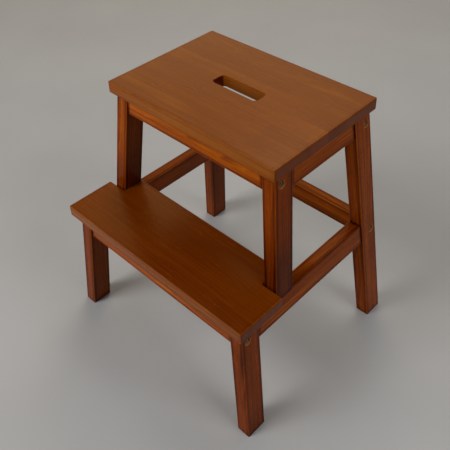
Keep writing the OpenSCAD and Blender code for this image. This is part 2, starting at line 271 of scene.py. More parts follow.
# ---------------------------------------------------------------- materials
class Nodes:
    """Short forms for building a shader graph."""

    def __init__(self, tree):
        self.t = tree

    def new(self, kind, **kw):
        n = self.t.nodes.new(kind)
        for k, v in kw.items():
            setattr(n, k, v)
        return n

    def put(self, socket, value):
        if isinstance(value, bpy.types.NodeSocket):
            self.t.links.new(value, socket)
        elif value is not None:
            socket.default_value = value

    def math(self, op, a, b=None, c=None, clamp=False):
        n = self.new("ShaderNodeMath", operation=op, use_clamp=clamp)
        for i, v in enumerate((a, b, c)):
            if v is not None:
                self.put(n.inputs[i], v)
        return n.outputs[0]

    def vec(self, op, a, b=None):
        n = self.new("ShaderNodeVectorMath", operation=op)
        self.put(n.inputs[0], a)
        if b is not None:
            self.put(n.inputs[1], b)
        return n.outputs["Value"] if op in ("LENGTH", "DOT_PRODUCT") else n.outputs[0]

    def split(self, v):
        n = self.new("ShaderNodeSeparateXYZ")
        self.put(n.inputs[0], v)
        return n.outputs[0], n.outputs[1], n.outputs[2]

    def join(self, x, y, z):
        n = self.new("ShaderNodeCombineXYZ")
        for i, v in enumerate((x, y, z)):
            self.put(n.inputs[i], v)
        return n.outputs[0]

    def attr(self, name):
        return self.new("ShaderNodeAttribute", attribute_name=name)

    def noise(self, vector, scale=1.0, detail=2.0, rough=0.5, distortion=0.0):
        n = self.new("ShaderNodeTexNoise", noise_dimensions="3D")
        self.put(n.inputs["Vector"], vector)
        n.inputs["Scale"].default_value = scale
        n.inputs["Detail"].default_value = detail
        n.inputs["Roughness"].default_value = rough
        n.inputs["Distortion"].default_value = distortion
        return n.outputs["Fac"]

    def white(self, w):
        n = self.new("ShaderNodeTexWhiteNoise", noise_dimensions="1D")
        self.put(n.inputs["W"], w)
        return n.outputs["Value"], n.outputs["Color"]

    def smooth(self, v, lo, hi, to_lo=0.0, to_hi=1.0):
        n = self.new("ShaderNodeMapRange", interpolation_type="SMOOTHSTEP")
        self.put(n.inputs["Value"], v)
        for k, x in (("From Min", lo), ("From Max", hi), ("To Min", to_lo), ("To Max", to_hi)):
            n.inputs[k].default_value = x
        return n.outputs["Result"]

    def mix(self, fac, a, b, blend="MIX"):
        n = self.new("ShaderNodeMix", data_type="RGBA", blend_type=blend)
        self.put(n.inputs[0], fac)
        self.put(n.inputs[6], a)
        self.put(n.inputs[7], b)
        return n.outputs[2]

    def ramp(self, fac, stops):
        n = self.new("ShaderNodeValToRGB")
        self.put(n.inputs[0], fac)
        el = n.color_ramp.elements
        while len(el) < len(stops):
            el.new(0.5)
        for e, (pos, col) in zip(el, stops):
            e.position = pos
            e.color = (*col, 1)
        return n.outputs[0]


def lin(r, g, b):
    """sRGB 0 to 255 as linear."""
    f = lambda c: c / 12.92 if c <= 0.04045 else ((c + 0.055) / 1.055) ** 2.4
    return tuple(f(c / 255) for c in (r, g, b))


def wood(name, dark, mid, light, stave=1.0, rough=0.33, coat=0.35, ring_gap=0.0042, grain=1.0, mottle=0.34, spec=0.5, ior=1.5, gloss=(1, 1, 1)):
    """Stained and lacquered wood. The grain follows each piece's own length, through the attributes that dress()
    writes:
    g_pos, metres along the piece, across its width and through its thickness; g_end, distance to either end, and the
    piece's own number; g_half, half its width and half its thickness; g_endg, 1 on end grain."""
    mat = bpy.data.materials.new(name)
    mat.use_nodes = True
    t = mat.node_tree
    t.nodes.clear()
    n = Nodes(t)
    out = n.new("ShaderNodeOutputMaterial")
    bsdf = n.new("ShaderNodeBsdfPrincipled")
    t.links.new(bsdf.outputs[0], out.inputs[0])
    pos = n.attr("g_pos").outputs["Vector"]
    ends = n.attr("g_end").outputs["Vector"]
    half = n.attr("g_half").outputs["Vector"]
    endg = n.attr("g_endg").outputs["Fac"]
    x, y, z = n.split(pos)
    ea, eb, seed = n.split(ends)
    hy, hz, painted_light_tone = n.split(half)

    # edge-glued staves: each has its own run of grain and its own tone
    wander = n.math("MULTIPLY", n.math("SUBTRACT", n.noise(n.join(n.math("MULTIPLY", x, 2.0), seed, 0.0)), 0.5), 0.0)
    across = n.math("DIVIDE", n.math("ADD", n.math("ADD", y, wander), 1.003), stave)
    index = n.math("FLOOR", across)
    frac = n.math("FRACT", across)
    rv, rc = n.white(n.math("ADD", index, n.math("MULTIPLY", seed, 7.31)))
    r1, r2, r3 = n.split(rc)
    sx = n.math("ADD", x, n.math("MULTIPLY", rv, 9.0))
    sy = n.math("ADD", y, n.math("MULTIPLY", seed, 0.37))
    sz = n.math("ADD", z, n.math("MULTIPLY", r2, 3.0))

    # annual rings: distance from a pith line that lies off the piece and wanders slowly
    low = n.noise(n.join(n.math("MULTIPLY", sx, 2.6), n.math("MULTIPLY", sy, 9.0), n.math("MULTIPLY", sz, 9.0)), 1.0, 3.0, 0.55)
    low2 = n.noise(n.join(n.math("MULTIPLY", sx, 1.1), n.math("MULTIPLY", seed, 5.0), n.math("MULTIPLY", r1, 31.0)), 1.0, 2.0, 0.5)
    cy = n.math("ADD", n.math("MULTIPLY", n.math("SUBTRACT", r1, 0.5), 0.09), n.math("MULTIPLY", n.math("SUBTRACT", low2, 0.5), 0.05))
    py = n.math("ADD", y, cy)
    py = n.math("SUBTRACT", py, n.math("MULTIPLY", n.math("ADD", n.math("SUBTRACT", index, n.math("DIVIDE", 1.0, stave)), 0.5), stave if stave < 0.5 else 0.0))
    pz = n.math("ADD", n.math("ADD", z, 0.026), n.math("MULTIPLY", n.math("SUBTRACT", low, 0.5), 0.030))
    pz = n.math("ADD", pz, n.math("MULTIPLY", n.math("MULTIPLY", n.math("SUBTRACT", r3, 0.5), x), 0.09))
    dist = n.math("SQRT", n.math("ADD", n.math("MULTIPLY", py, py), n.math("MULTIPLY", pz, pz)))
    phase = n.math("DIVIDE", dist, ring_gap)
    saw = n.math("FRACT", phase)
    ring = n.math("MULTIPLY", n.smooth(saw, 0.0, 0.80), n.smooth(saw, 1.0, 0.86))
    ring_weight = n.smooth(n.noise(n.join(n.math("MULTIPLY", sx, 0.9), n.math("MULTIPLY", phase, 0.35), seed)), 0.3, 0.7, 0.35, 1.0)
    ring = n.math("MULTIPLY", ring, ring_weight)

    # fibres and pores, long along the grain
    fib = n.noise(n.join(n.math("MULTIPLY", sx, 9.0), n.math("MULTIPLY", sy, 420.0), n.math("MULTIPLY", sz, 420.0)), 1.0, 4.0, 0.6)
    fib2 = n.noise(n.join(n.math("MULTIPLY", sx, 3.0), n.math("MULTIPLY", sy, 95.0), n.math("MULTIPLY", sz, 95.0)), 1.0, 3.0, 0.55)
    pore_n = n.noise(n.join(n.math("MULTIPLY", sx, 85.0), n.math("MULTIPLY", sy, 1500.0), n.math("MULTIPLY", sz, 1500.0)), 1.0, 1.0, 0.4)
    pore = n.smooth(pore_n, 0.61, 0.70)
    # end grain shows the fibres as dots
    dots = n.noise(n.join(0.0, n.math("MULTIPLY", sy, 900.0), n.math("MULTIPLY", sz, 900.0)), 1.0, 2.0, 0.6)
    blot = n.noise(n.join(n.math("MULTIPLY", sx, 5.0), n.math("MULTIPLY", sy, 14.0), n.math("MULTIPLY", sz, 14.0)), 1.0, 3.0, 0.5)

    # distance to the nearest arris, in metres: the middle one of the three distances to the piece's faces
    de = n.math("MINIMUM", ea, eb)
    dy = n.math("SUBTRACT", hy, n.math("ABSOLUTE", y))
    dz = n.math("SUBTRACT", hz, n.math("ABSOLUTE", z))
    edge = n.math("MAXIMUM", n.math("MINIMUM", de, dy), n.math("MINIMUM", n.math("MAXIMUM", de, dy), dz))
    rub_n = n.noise(n.join(n.math("MULTIPLY", sx, 38.0), n.math("MULTIPLY", sy, 60.0), n.math("MULTIPLY", sz, 60.0)), 1.0, 3.0, 0.6)
    rub = n.math("MULTIPLY", n.smooth(n.math("ADD", edge, n.math("MULTIPLY", n.math("SUBTRACT", rub_n, 0.5), 0.003)), 0.0030, 0.0006), 0.55)
    # painted shade: a darker band a few millimetres in from each arris, standing in for the dark surroundings that the
    # rounded edges reflect
    arris_painted_shade = n.math("MULTIPLY", n.smooth(edge, 0.0085, 0.0030), n.smooth(edge, 0.0008, 0.0026))

    # tone, 0 dark to 1 light: the stain, with painted light and shade added to it further down; the staves are
    # finger-jointed from shorter lengths
    length = n.math("FLOOR", n.math("DIVIDE", n.math("ADD", n.math("ADD", x, 1.0), n.math("MULTIPLY", rv, 0.29)), 0.29))
    lv = n.white(n.math("ADD", n.math("MULTIPLY", index, 3.7), n.math("ADD", n.math("MULTIPLY", length, 11.3), seed)))[0]
    v = n.math("ADD", 0.50, n.math("MULTIPLY", n.math("SUBTRACT", ring, 0.4), -0.15 * grain))
    v = n.math("ADD", v, n.math("MULTIPLY", n.math("SUBTRACT", fib, 0.5), 0.20 * grain))
    v = n.math("ADD", v, n.math("MULTIPLY", n.math("SUBTRACT", fib2, 0.5), 0.30 * grain))
    v = n.math("ADD", v, n.math("MULTIPLY", n.math("SUBTRACT", blot, 0.5), mottle))
    v = n.math("ADD", v, n.math("MULTIPLY", n.math("SUBTRACT", rv, 0.5), 0.07))
    if stave < 0.5:
        v = n.math("ADD", v, n.math("MULTIPLY", n.math("SUBTRACT", lv, 0.5), 0.09))
    # painted light and shade: a per-piece offset that lightens the aprons and darkens the lower legs, the back legs and
    # the tread, standing in for how the lamps fall on them
    v = n.math("ADD", v, n.math("MULTIPLY", painted_light_tone, 1.0))
    v = n.math("ADD", v, n.math("MULTIPLY", rub, 0.30))
    # painted shade along the arrises, deeper on the frame than on the panels
    v = n.math("SUBTRACT", v, n.math("MULTIPLY", arris_painted_shade, 0.10 if stave < 0.5 else 0.26))
    v = n.math("SUBTRACT", v, n.math("MULTIPLY", endg, n.math("ADD", 0.16, n.math("MULTIPLY", n.math("SUBTRACT", dots, 0.5), 0.5))))
    if stave < 0.5:  # the panel's long edge faces and the slot's long walls are made lighter
        v = n.math("ADD", v, n.math("MULTIPLY", n.math("MULTIPLY", n.smooth(dz, 0.0012, 0.0030), n.math("SUBTRACT", 1.0, endg)), 0.24))
    # painted shade: the end walls of the hand slot are darkened, standing in for the shadow in them
    v = n.math("SUBTRACT", v, n.math("MULTIPLY", n.math("MULTIPLY", endg, n.smooth(de, 0.03, 0.06)), 0.60))
    # painted shade: the upper front legs darken towards their lower ends, standing in for the shade just above the
    # tread
    v = n.math("SUBTRACT", v, n.math("MULTIPLY", n.math("MULTIPLY", n.attr("g_low_end_shade").outputs["Fac"], n.smooth(ea, 0.150, 0.020)), 0.26))
    if stave >= 0.5:  # painted shade where a bar butts against the next piece
        v = n.math("SUBTRACT", v, n.math("MULTIPLY", n.smooth(de, 0.0060, 0.0008), 0.22))
    col = n.ramp(v, [(0.0, dark), (0.5, mid), (1.0, light)])
    col = n.mix(n.math("MULTIPLY", pore, 0.30 * grain), col, (*[c * 0.35 for c in dark], 1))
    if stave >= 0.5:
        joint_shade = n.attr("g_joint_shade").outputs["Fac"]
        bore = n.attr("g_bore").outputs["Fac"]
        col = n.mix(n.math("MULTIPLY", bore, n.math("ADD", 0.55, n.math("MULTIPLY", dots, 0.3))), col, (*lin(196, 140, 88), 1))
        # painted shade: a dark line at the ends of rails and aprons, where they meet the legs
        col = n.mix(n.math("MULTIPLY", n.math("MULTIPLY", n.smooth(de, 0.0034, 0.0012), joint_shade), 0.85), col, (*[c * 0.25 for c in dark], 1))
    if stave < 0.5:
        line = n.smooth(n.math("MULTIPLY", n.math("MINIMUM", frac, n.math("SUBTRACT", 1.0, frac)), stave), 0.00025, 0.0007, 1.0, 0.0)
        col = n.mix(n.math("MULTIPLY", line, 0.14), col, (*[c * 0.5 for c in dark], 1))
    else:
        line = None
    n.put(bsdf.inputs["Base Color"], col)

    # lacquer: mostly even, a little duller where it is thin or handled
    smear = n.noise(n.join(n.math("MULTIPLY", x, 14.0), n.math("MULTIPLY", y, 22.0), n.math("ADD", z, seed)), 1.0, 4.0, 0.55)
    rr = n.math("ADD", rough, n.math("MULTIPLY", n.math("SUBTRACT", smear, 0.5), 0.16))
    rr = n.math("ADD", rr, n.math("MULTIPLY", rub, 0.14))
    rr = n.math("ADD", rr, n.math("MULTIPLY", n.math("SUBTRACT", fib, 0.5), 0.06))
    rr = n.math("ADD", rr, n.math("MULTIPLY", endg, 0.10))
    n.put(bsdf.inputs["Roughness"], n.math("MINIMUM", n.math("MAXIMUM", rr, 0.12), 0.8))

    # relief: fibres telegraph through the lacquer, pores are tiny grooves, the film has a slight orange peel
    peel = n.noise(n.join(n.math("MULTIPLY", sx, 160.0), n.math("MULTIPLY", sy, 210.0), n.math("MULTIPLY", sz, 210.0)), 1.0, 2.0, 0.5)
    h = n.math("MULTIPLY", n.math("SUBTRACT", fib, 0.5), 0.55)
    h = n.math("ADD", h, n.math("MULTIPLY", n.math("SUBTRACT", fib2, 0.5), 0.35))
    h = n.math("ADD", h, n.math("MULTIPLY", peel, 0.22))
    h = n.math("SUBTRACT", h, n.math("MULTIPLY", pore, 0.5))
    h = n.math("SUBTRACT", h, n.math("MULTIPLY", ring, 0.22))
    if line is not None:
        h = n.math("SUBTRACT", h, n.math("MULTIPLY", line, 0.3))
    bump = n.new("ShaderNodeBump")
    bump.inputs["Strength"].default_value = 0.22
    bump.inputs["Distance"].default_value = 0.00020
    n.put(bump.inputs["Height"], h)
    t.links.new(bump.outputs[0], bsdf.inputs["Normal"])
    bsdf.inputs["Coat Weight"].default_value = coat
    bsdf.inputs["Coat Roughness"].default_value = 0.13
    bsdf.inputs["Specular IOR Level"].default_value = spec
    bsdf.inputs["IOR"].default_value = ior
    bsdf.inputs["Specular Tint"].default_value = (*gloss, 1)
    return mat


def metal(name, base, rough, wear):
    """Plated steel with fine turning marks, dulled specks and rubbed high spots."""
    mat = bpy.data.materials.new(name)
    mat.use_nodes = True
    t = mat.node_tree
    n = Nodes(t)
    bsdf = t.nodes["Principled BSDF"]
    p = n.attr("g_pos").outputs["Vector"]
    x, y, z = n.split(p)
    rr = n.math("SQRT", n.math("ADD", n.math("MULTIPLY", x, x), n.math("MULTIPLY", y, y)))
    turn = n.noise(n.join(n.math("MULTIPLY", rr, 9000.0), n.math("MULTIPLY", z, 2500.0), 0.0), 1.0, 2.0, 0.6)
    spots = n.noise(n.vec("MULTIPLY", p, (1, 1, 1)), 700.0, 4.0, 0.6)
    grime = n.noise(n.vec("MULTIPLY", p, (1, 1, 1)), 260.0, 3.0, 0.55)
    v = n.math("ADD", n.math("MULTIPLY", turn, 0.35), n.math("MULTIPLY", grime, 0.65))
    col = n.ramp(v, [(0.25, tuple(c * wear for c in base)), (0.55, base), (0.85, tuple(min(1, c * 1.12) for c in base))])
    col = n.mix(n.math("MULTIPLY", n.smooth(spots, 0.60, 0.72), 0.55), col, (0.10, 0.075, 0.05, 1))
    n.put(bsdf.inputs["Base Color"], col)
    bsdf.inputs["Metallic"].default_value = 1.0
    n.put(bsdf.inputs["Roughness"], n.math("ADD", rough, n.math("MULTIPLY", n.math("SUBTRACT", grime, 0.5), 0.25)))
    bump = n.new("ShaderNodeBump")
    bump.inputs["Strength"].default_value = 0.25
    bump.inputs["Distance"].default_value = 0.00008
    n.put(bump.inputs["Height"], n.math("ADD", n.math("MULTIPLY", turn, 0.6), n.math("MULTIPLY", spots, 0.4)))
    t.links.new(bump.outputs[0], bsdf.inputs["Normal"])
    return mat


WOOD_PANEL = wood("stained_panel", lin(76, 12, 0), lin(112, 50, 0), lin(160, 92, 12), stave=0.0435, rough=0.26, coat=0.0, grain=1.0, spec=0.36, ior=1.40, gloss=(1.0, 0.58, 0.16))
WOOD_FRAME = wood("stained_frame", lin(52, 9, 0), lin(124, 51, 0), lin(190, 100, 6), stave=1.0, rough=0.27, coat=0.0, grain=1.6, mottle=0.62, spec=0.16, ior=1.34, gloss=(1.0, 0.52, 0.12))
NICKEL = metal("bolt_nickel", (0.30, 0.24, 0.18), 0.30, 0.50)
ZINC = metal("plated_zinc", (0.66, 0.66, 0.64), 0.38, 0.70)


def raw_beech(name):
    mat = bpy.data.materials.new(name)
    mat.use_nodes = True
    n = Nodes(mat.node_tree)
    bsdf = mat.node_tree.nodes["Principled BSDF"]
    p = n.attr("g_pos").outputs["Vector"]
    x, y, z = n.split(p)
    fib = n.noise(n.join(n.math("MULTIPLY", x, 900.0), n.math("MULTIPLY", y, 900.0), n.math("MULTIPLY", z, 30.0)), 1.0, 3.0, 0.6)
    fleck = n.smooth(n.noise(n.join(n.math("MULTIPLY", x, 1800.0), n.math("MULTIPLY", y, 1800.0), n.math("MULTIPLY", z, 260.0)), 1.0, 1.0, 0.5), 0.62, 0.7)
    col = n.ramp(fib, [(0.2, lin(188, 150, 104)), (0.55, lin(212, 178, 132)), (0.85, lin(226, 196, 154))])
    col = n.mix(n.math("MULTIPLY", fleck, 0.5), col, (*lin(140, 98, 60), 1))
    n.put(bsdf.inputs["Base Color"], col)
    n.put(bsdf.inputs["Roughness"], n.math("ADD", 0.55, n.math("MULTIPLY", fib, 0.2)))
    bump = n.new("ShaderNodeBump")
    bump.inputs["Strength"].default_value = 0.4
    bump.inputs["Distance"].default_value = 0.0002
    n.put(bump.inputs["Height"], fib)
    mat.node_tree.links.new(bump.outputs[0], bsdf.inputs["Normal"])
    return mat


BEECH = raw_beech("dowel_beech")


# ---------------------------------------------------------------- pieces
def write_attr(me, name, kind, domain, values):
    a = me.attributes.new(name, kind, domain)
    key = "vector" if kind == "FLOAT_VECTOR" else "value"
    flat = [c for v in values for c in v] if kind == "FLOAT_VECTOR" else list(values)
    a.data.foreach_set(key, flat)


def dress(ob, centre, axes, half, planes, seed, painted_light_tone=0.0, joint_shade=0.0, bores=(), low_end_shade=0.0):
    """Writes the attributes that the wood reads. axes are the piece's length, width and thickness; planes are its two end planes (point, outward normal)."""
    me = ob.data
    L, A, B = axes
    pos, end = [], []
    for v in me.vertices:
        d = v.co - centre
        pos.append((d.dot(L) / 1000, d.dot(A) / 1000, d.dot(B) / 1000))
        end.append((-(v.co - planes[0][0]).dot(planes[0][1]) / 1000, -(v.co - planes[1][0]).dot(planes[1][1]) / 1000, seed))
    write_attr(me, "g_pos", "FLOAT_VECTOR", "POINT", pos)
    write_attr(me, "g_end", "FLOAT_VECTOR", "POINT", end)
    write_attr(me, "g_half", "FLOAT_VECTOR", "POINT", [(half[0] / 1000, half[1] / 1000, painted_light_tone)] * len(me.vertices))
    # painted shade masks: g_joint_shade for bar ends that meet the legs, g_low_end_shade for the lower ends of the
    # upper legs
    write_attr(me, "g_joint_shade", "FLOAT", "FACE", [joint_shade] * len(me.polygons))
    write_attr(me, "g_low_end_shade", "FLOAT", "FACE", [low_end_shade] * len(me.polygons))
    bore = [0.0] * len(me.polygons)
    for m in bores:
        inv = m.inverted()
        axis = (m.to_3x3() @ Vector((0, 0, 1))).normalized()
        for p in me.polygons:
            q = inv @ p.center
            if math.hypot(q.x, q.y) < HEAD_D / 2 + 2.2 and -SINK - 0.2 < q.z < 0.2 and abs(p.normal.dot(axis)) < 0.93:
                bore[p.index] = 1.0
    write_attr(me, "g_bore", "FLOAT", "FACE", bore)
    write_attr(me, "g_endg", "FLOAT", "FACE", [1.0 if abs(p.normal.dot(L)) > 0.72 else 0.0 for p in me.polygons])


def finish_piece(ob, node, mat, sharp=34, weighted=True):
    me = ob.data
    for v in me.vertices:
        v.co *= 0.001
    me.materials.clear()
    me.materials.append(mat)
    for p in me.polygons:
        p.use_smooth = True
    me.set_sharp_from_angle(angle=rad(sharp))
    me.update()
    if weighted:
        w = ob.modifiers.new("normals", "WEIGHTED_NORMAL")
        w.keep_sharp = True
        w.weight = 70
    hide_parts(node)
    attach(ob, "root")
    return ob


def frame_axes(a, b, ring0):
    """Length, width and thickness directions of a bar from its end centres and one end's corners."""
    L = (b - a).normalized()
    A = ring0[1] - ring0[0]
    A = (A - L * A.dot(L)).normalized()
    return L, A, L.cross(A)


SEED = [0]


def make_bar(node, ring0, ring1, cutters, r_long=2.1, r_end=0.5, painted_light_tone=0.0, bores=()):
    mid0 = sum(ring0, Vector()) / 4
    mid1 = sum(ring1, Vector()) / 4
    bm = bar_mesh(ring0, ring1, r_long, r_end)
    ob = new_object("v_" + node, bm)
    cut(ob, cutters)
    L, A, B = frame_axes(mid0, mid1, ring0)
    n0 = (ring0[1] - ring0[0]).cross(ring0[3] - ring0[0]).normalized()
    n1 = (ring1[1] - ring1[0]).cross(ring1[3] - ring1[0]).normalized()
    if n0.dot(mid0 - mid1) < 0:
        n0 = -n0
    if n1.dot(mid1 - mid0) < 0:
        n1 = -n1
    centre = (mid0 + mid1) / 2
    hy = max(abs((p - centre).dot(A)) for p in ring0 + ring1)
    hz = max(abs((p - centre).dot(B)) for p in ring0 + ring1)
    SEED[0] += 1
    # the last two values paint shade: a dark line at rail and apron ends, and darkening at the lower ends of the upper
    # front legs
    dress(ob, centre, (L, A, B), (hy, hz), ((mid0, n0), (mid1, n1)), SEED[0] * 1.618, painted_light_tone, 0.0 if "leg" in node else 1.0, bores, 1.0 if "upper" in node else 0.0)
    return finish_piece(ob, node, WOOD_FRAME)


# cutters ---------------------------------------------------------------------
def bolt_cutter(bm, joint, s):
    m = at_bolt(joint, s)
    rc = (HEAD_D + 1.6) / 2
    lathe(bm, [(0, 3), (rc + 3.6, 3), (rc, -0.6), (rc, -SINK), (BOLT_D / 2 + FIT, -SINK), (BOLT_D / 2 + FIT, -LEG_W - BOLT_IN - 1), (0, -LEG_W - BOLT_IN - 1)], m, 48)


def dowel_cutter(bm, joint, s):
    dz = JOINTS[joint][2]
    rod(bm, DOWEL_D + 2 * FIT, -LEG_W - DOWEL_L / 2 - 0.5, -LEG_W + DOWEL_L / 2 + 0.5, at_bolt(joint, s) @ T((-dz, 0, 0)), 24)


def barrel_cutter(bm, joint, s):
    side = JOINTS[joint][3]
    m = at_bolt(joint, s) @ T((0, 0, -BARREL_AT)) @ R(rad(-90 if side > 0 else 90), 4, "X")
    rb = BARREL_D / 2 + FIT
    lathe(bm, [(0, -BARREL_L / 2), (rb, -BARREL_L / 2), (rb, APRON_T / 2 - 0.4), (rb + 3.0, APRON_T / 2 + 2.6), (0, APRON_T / 2 + 2.6)], m, 32)


FRAME_DOWELS = []
DX = -(RAIL_IN + RAIL_T / 2)
vz = lambda z: (z - SEAT_Z) / CS
for zz in (SEAT_Z - 11, SEAT_Z - 30):
    FRAME_DOWELS.append(T((DX, y_upper(zz) + LEG_D, vz(zz))) @ R(rad(90), 4, "X"))
    FRAME_DOWELS.append(T((DX, y_back(zz) - LEG_D, vz(zz))) @ R(rad(90), 4, "X"))
for zz in (RAIL_TOP - 12, RAIL_BOT + 12):
    FRAME_DOWELS.append(T((DX, y_lower(zz) + LEG_D, vz(zz))) @ R(rad(90), 4, "X"))
    FRAME_DOWELS.append(T((DX, y_back(zz) - LEG_D, vz(zz))) @ R(rad(90), 4, "X"))
for dy in (13, 28):
    FRAME_DOWELS.append(T((DX, y_upper(RAIL_TOP) + dy, vz(RAIL_TOP))))
KINDS = ["tr_u", "tr_b", "tr_u", "tr_b", "lr_l", "lr_b", "lr_l", "lr_b", "foot", "foot"]


def frame_cutters(bm, s, kinds):
    for m, k in zip(FRAME_DOWELS, KINDS):
        if k in kinds:
            rod(bm, DOWEL_D + 2 * FIT, -DOWEL_L / 2 - 0.5, DOWEL_L / 2 + 0.5, on(s, SIDE @ m), 24)


SCREWS = {
    "seat_front": [((s * 105, FRONT_Y + APRON_T / 2 + YS, SEAT_Z), APRON_H) for s in (-1, 1)],
    "seat_rear": [((s * 105, REAR_Y + APRON_T / 2 + YS, SEAT_Z), TOP_H) for s in (-1, 1)],
    "step": [((s * 130, STEP_Y + APRON_T / 2 + YS, TREAD_Z), LOWER_H) for s in (-1, 1)],
    "rail": [((s * (x_out(TREAD_Z, RAIL_IN + RAIL_T / 2) + 2.3), NOTCH_Y - 22 + YS, TREAD_Z), LOWER_H) for s in (-1, 1)],
}


def screw_cutters(bm, *groups, side=None):
    for g in groups:
        for (p, h), s in zip(SCREWS[g], (-1, 1)):
            if side is not None and s != side:
                continue
            rh = (SCREW_HEAD + 1) / 2
            rs = SCREW_D / 2 + FIT
            lathe(bm, [(0, -h - 2), (rh + 2.6, -h - 2), (rh, -h + 0.6), (rh, -h + 8), (rs, -h + 8), (rs, SCREW_UP + 0.5), (0, SCREW_UP + 0.5)], T(p), 32)


# legs -------------------------------------------------------------------------
def leg_rings(m, s, z0, z1):
    """Corners in the order: outer front, inner front, inner rear, outer rear."""
    cs = [(0, 0), (-LEG_W, 0), (-LEG_W, LEG_D), (0, LEG_D)]
    out = []
    for z in (z0, z1):
        ring = [at_height(m, x, y, z) for x, y in cs]
        if s < 0:
            ring = [MIRROR @ p for p in ring]
        out.append(ring)
    return out


for s, side in ((-1, "left"), (1, "right")):
    c = bmesh.new()
    bolt_cutter(c, "front_apron", s)
    dowel_cutter(c, "front_apron", s)
    frame_cutters(c, s, ("tr_u", "foot"))
    # painted light and shade: painted_light_tone lightens or darkens each leg as a whole, for how the lamps fall on it
    make_bar("upper_front_leg_" + side, *leg_rings(AT_UPPER, s, RAIL_TOP, SEAT_Z), c, painted_light_tone=0.05 if s < 0 else -0.09, bores=[at_bolt("front_apron", s)])

    c = bmesh.new()
    bolt_cutter(c, "step_apron", s)
    dowel_cutter(c, "step_apron", s)
    frame_cutters(c, s, ("lr_l",))
    make_bar("lower_front_leg_" + side, *leg_rings(AT_LOWER, s, 0, TREAD_Z), c, r_end=0.9, painted_light_tone=-0.06 if s < 0 else -0.13, bores=[at_bolt("step_apron", s)])

    c = bmesh.new()
    for j in ("rear_apron", "rear_stretcher"):
        bolt_cutter(c, j, s)
        dowel_cutter(c, j, s)
    frame_cutters(c, s, ("tr_b", "lr_b"))
    make_bar("back_leg_" + side, *leg_rings(AT_BACK, s, 0, SEAT_Z), c, r_end=0.9, painted_light_tone=-0.12 if s < 0 else -0.04, bores=[at_bolt("rear_apron", s), at_bolt("rear_stretcher", s)])


# side rails -------------------------------------------------------------------
def cut_y(m, y_local, X, Z):
    """Where a line along Y at (X, Z) meets a leg's front or rear plane."""
    p = m @ Vector((0, y_local, 0))
    nrm = m.to_3x3() @ Vector((0, 1, 0))
    y = p.y + ((p.x - X) * nrm.x + (p.z - Z) * nrm.z) / nrm.y
    return Vector((X, y, Z))


def rail_rings(s, m0, m1, z0, z1):
    """Corners in the order: outer bottom, outer top, inner top, inner bottom."""
    i, o = RAIL_IN, RAIL_IN + RAIL_T
    sec = [(x_out(z0, i), z0), (x_out(z1, i), z1), (x_out(z1, o), z1), (x_out(z0, o), z0)]
    r0 = [cut_y(m0, LEG_D, X, Z) for X, Z in sec]
    r1 = [cut_y(m1, 0, X, Z) for X, Z in sec]
    if s < 0:
        r0, r1 = [MIRROR @ p for p in r0], [MIRROR @ p for p in r1]
    return r0, r1


for s, side in ((-1, "left"), (1, "right")):
    c = bmesh.new()
    frame_cutters(c, s, ("tr_u", "tr_b"))
    # painted light and shade: the top rails a little lighter, the lower rails a little darker
    make_bar("top_side_rail_" + side, *rail_rings(s, AT_UPPER, AT_BACK, SEAT_Z - TOP_H, SEAT_Z), c, r_long=1.8, painted_light_tone=0.05)
    c = bmesh.new()
    frame_cutters(c, s, ("lr_l", "lr_b", "foot"))
    screw_cutters(c, "rail", side=s)
    make_bar("lower_side_rail_" + side, *rail_rings(s, AT_LOWER, AT_BACK, RAIL_BOT, RAIL_TOP), c, r_long=1.8, painted_light_tone=-0.02)


# cross members ------------------------------------------------------------------
def cross_rings(y0, z0, h):
    """Corners in the order: front bottom, front top, rear top, rear bottom."""
    p = SIDE @ Vector((-LEG_W, 0, 0))
    nrm = SIDE.to_3x3() @ Vector((1, 0, 0))
    sec = [(y0, z0), (y0, z0 + h), (y0 + APRON_T, z0 + h), (y0 + APRON_T, z0)]
    r1 = [Vector((p.x + (p.z - Z) * nrm.z / nrm.x, Y + YS, Z)) for Y, Z in sec]
    return [MIRROR @ q for q in r1], r1


# the last column is painted light: the front aprons are made lighter, where the lamps fall brightly
for node, y0, z0, h, screws, painted_light_tone in (
    ("front_apron", FRONT_Y, FRONT_Z, APRON_H, ("seat_front",), 0.11),
    ("rear_apron", REAR_Y, REAR_Z, TOP_H, ("seat_rear",), 0.0),
    ("step_apron", STEP_Y, STEP_Z, LOWER_H, ("step",), 0.12),
    ("rear_stretcher", STR_Y, STR_Z, APRON_H, (), 0.05),
):
    c = bmesh.new()
    for s in (-1, 1):
        bolt_cutter(c, node, s)
        dowel_cutter(c, node, s)
        barrel_cutter(c, node, s)
    screw_cutters(c, *screws)
    make_bar(node, *cross_rings(y0, z0, h), c, r_long=1.8, painted_light_tone=painted_light_tone)

# panels ---------------------------------------------------------------------------
V2 = lambda x, y: Vector((x, y))
X, Y, Z = Vector((1, 0, 0)), Vector((0, 1, 0)), Vector((0, 0, 1))

w2 = SEAT_W / 2
seat = [V2(-w2, -SEAT_D + YS), V2(w2, -SEAT_D + YS), V2(w2, YS), V2(-w2, YS)]
cy = YS - SEAT_D / 2
slot = [V2(a * SLOT_L / 2 - SLOT_LEFT, cy + SLOT_BACK + b * SLOT_W / 2) for a, b in ((-1, -1), (1, -1), (1, 1), (-1, 1))]
bm = panel_mesh(seat, [CORNER_R] * 4, SEAT_Z, SEAT_H, ARRIS, (slot, [SLOT_R] * 4))
ob = new_object("v_seat_panel", bm)
c = bmesh.new()
screw_cutters(c, "seat_front", "seat_rear")
cut(ob, c)
mid = Vector((0, cy, SEAT_Z + PANEL_T / 2))
dress(ob, mid, (X, Y, Z), (SEAT_D / 2, PANEL_T / 2), ((mid - X * w2, -X), (mid + X * w2, X)), 0.5)
finish_piece(ob, "seat_panel", WOOD_PANEL)

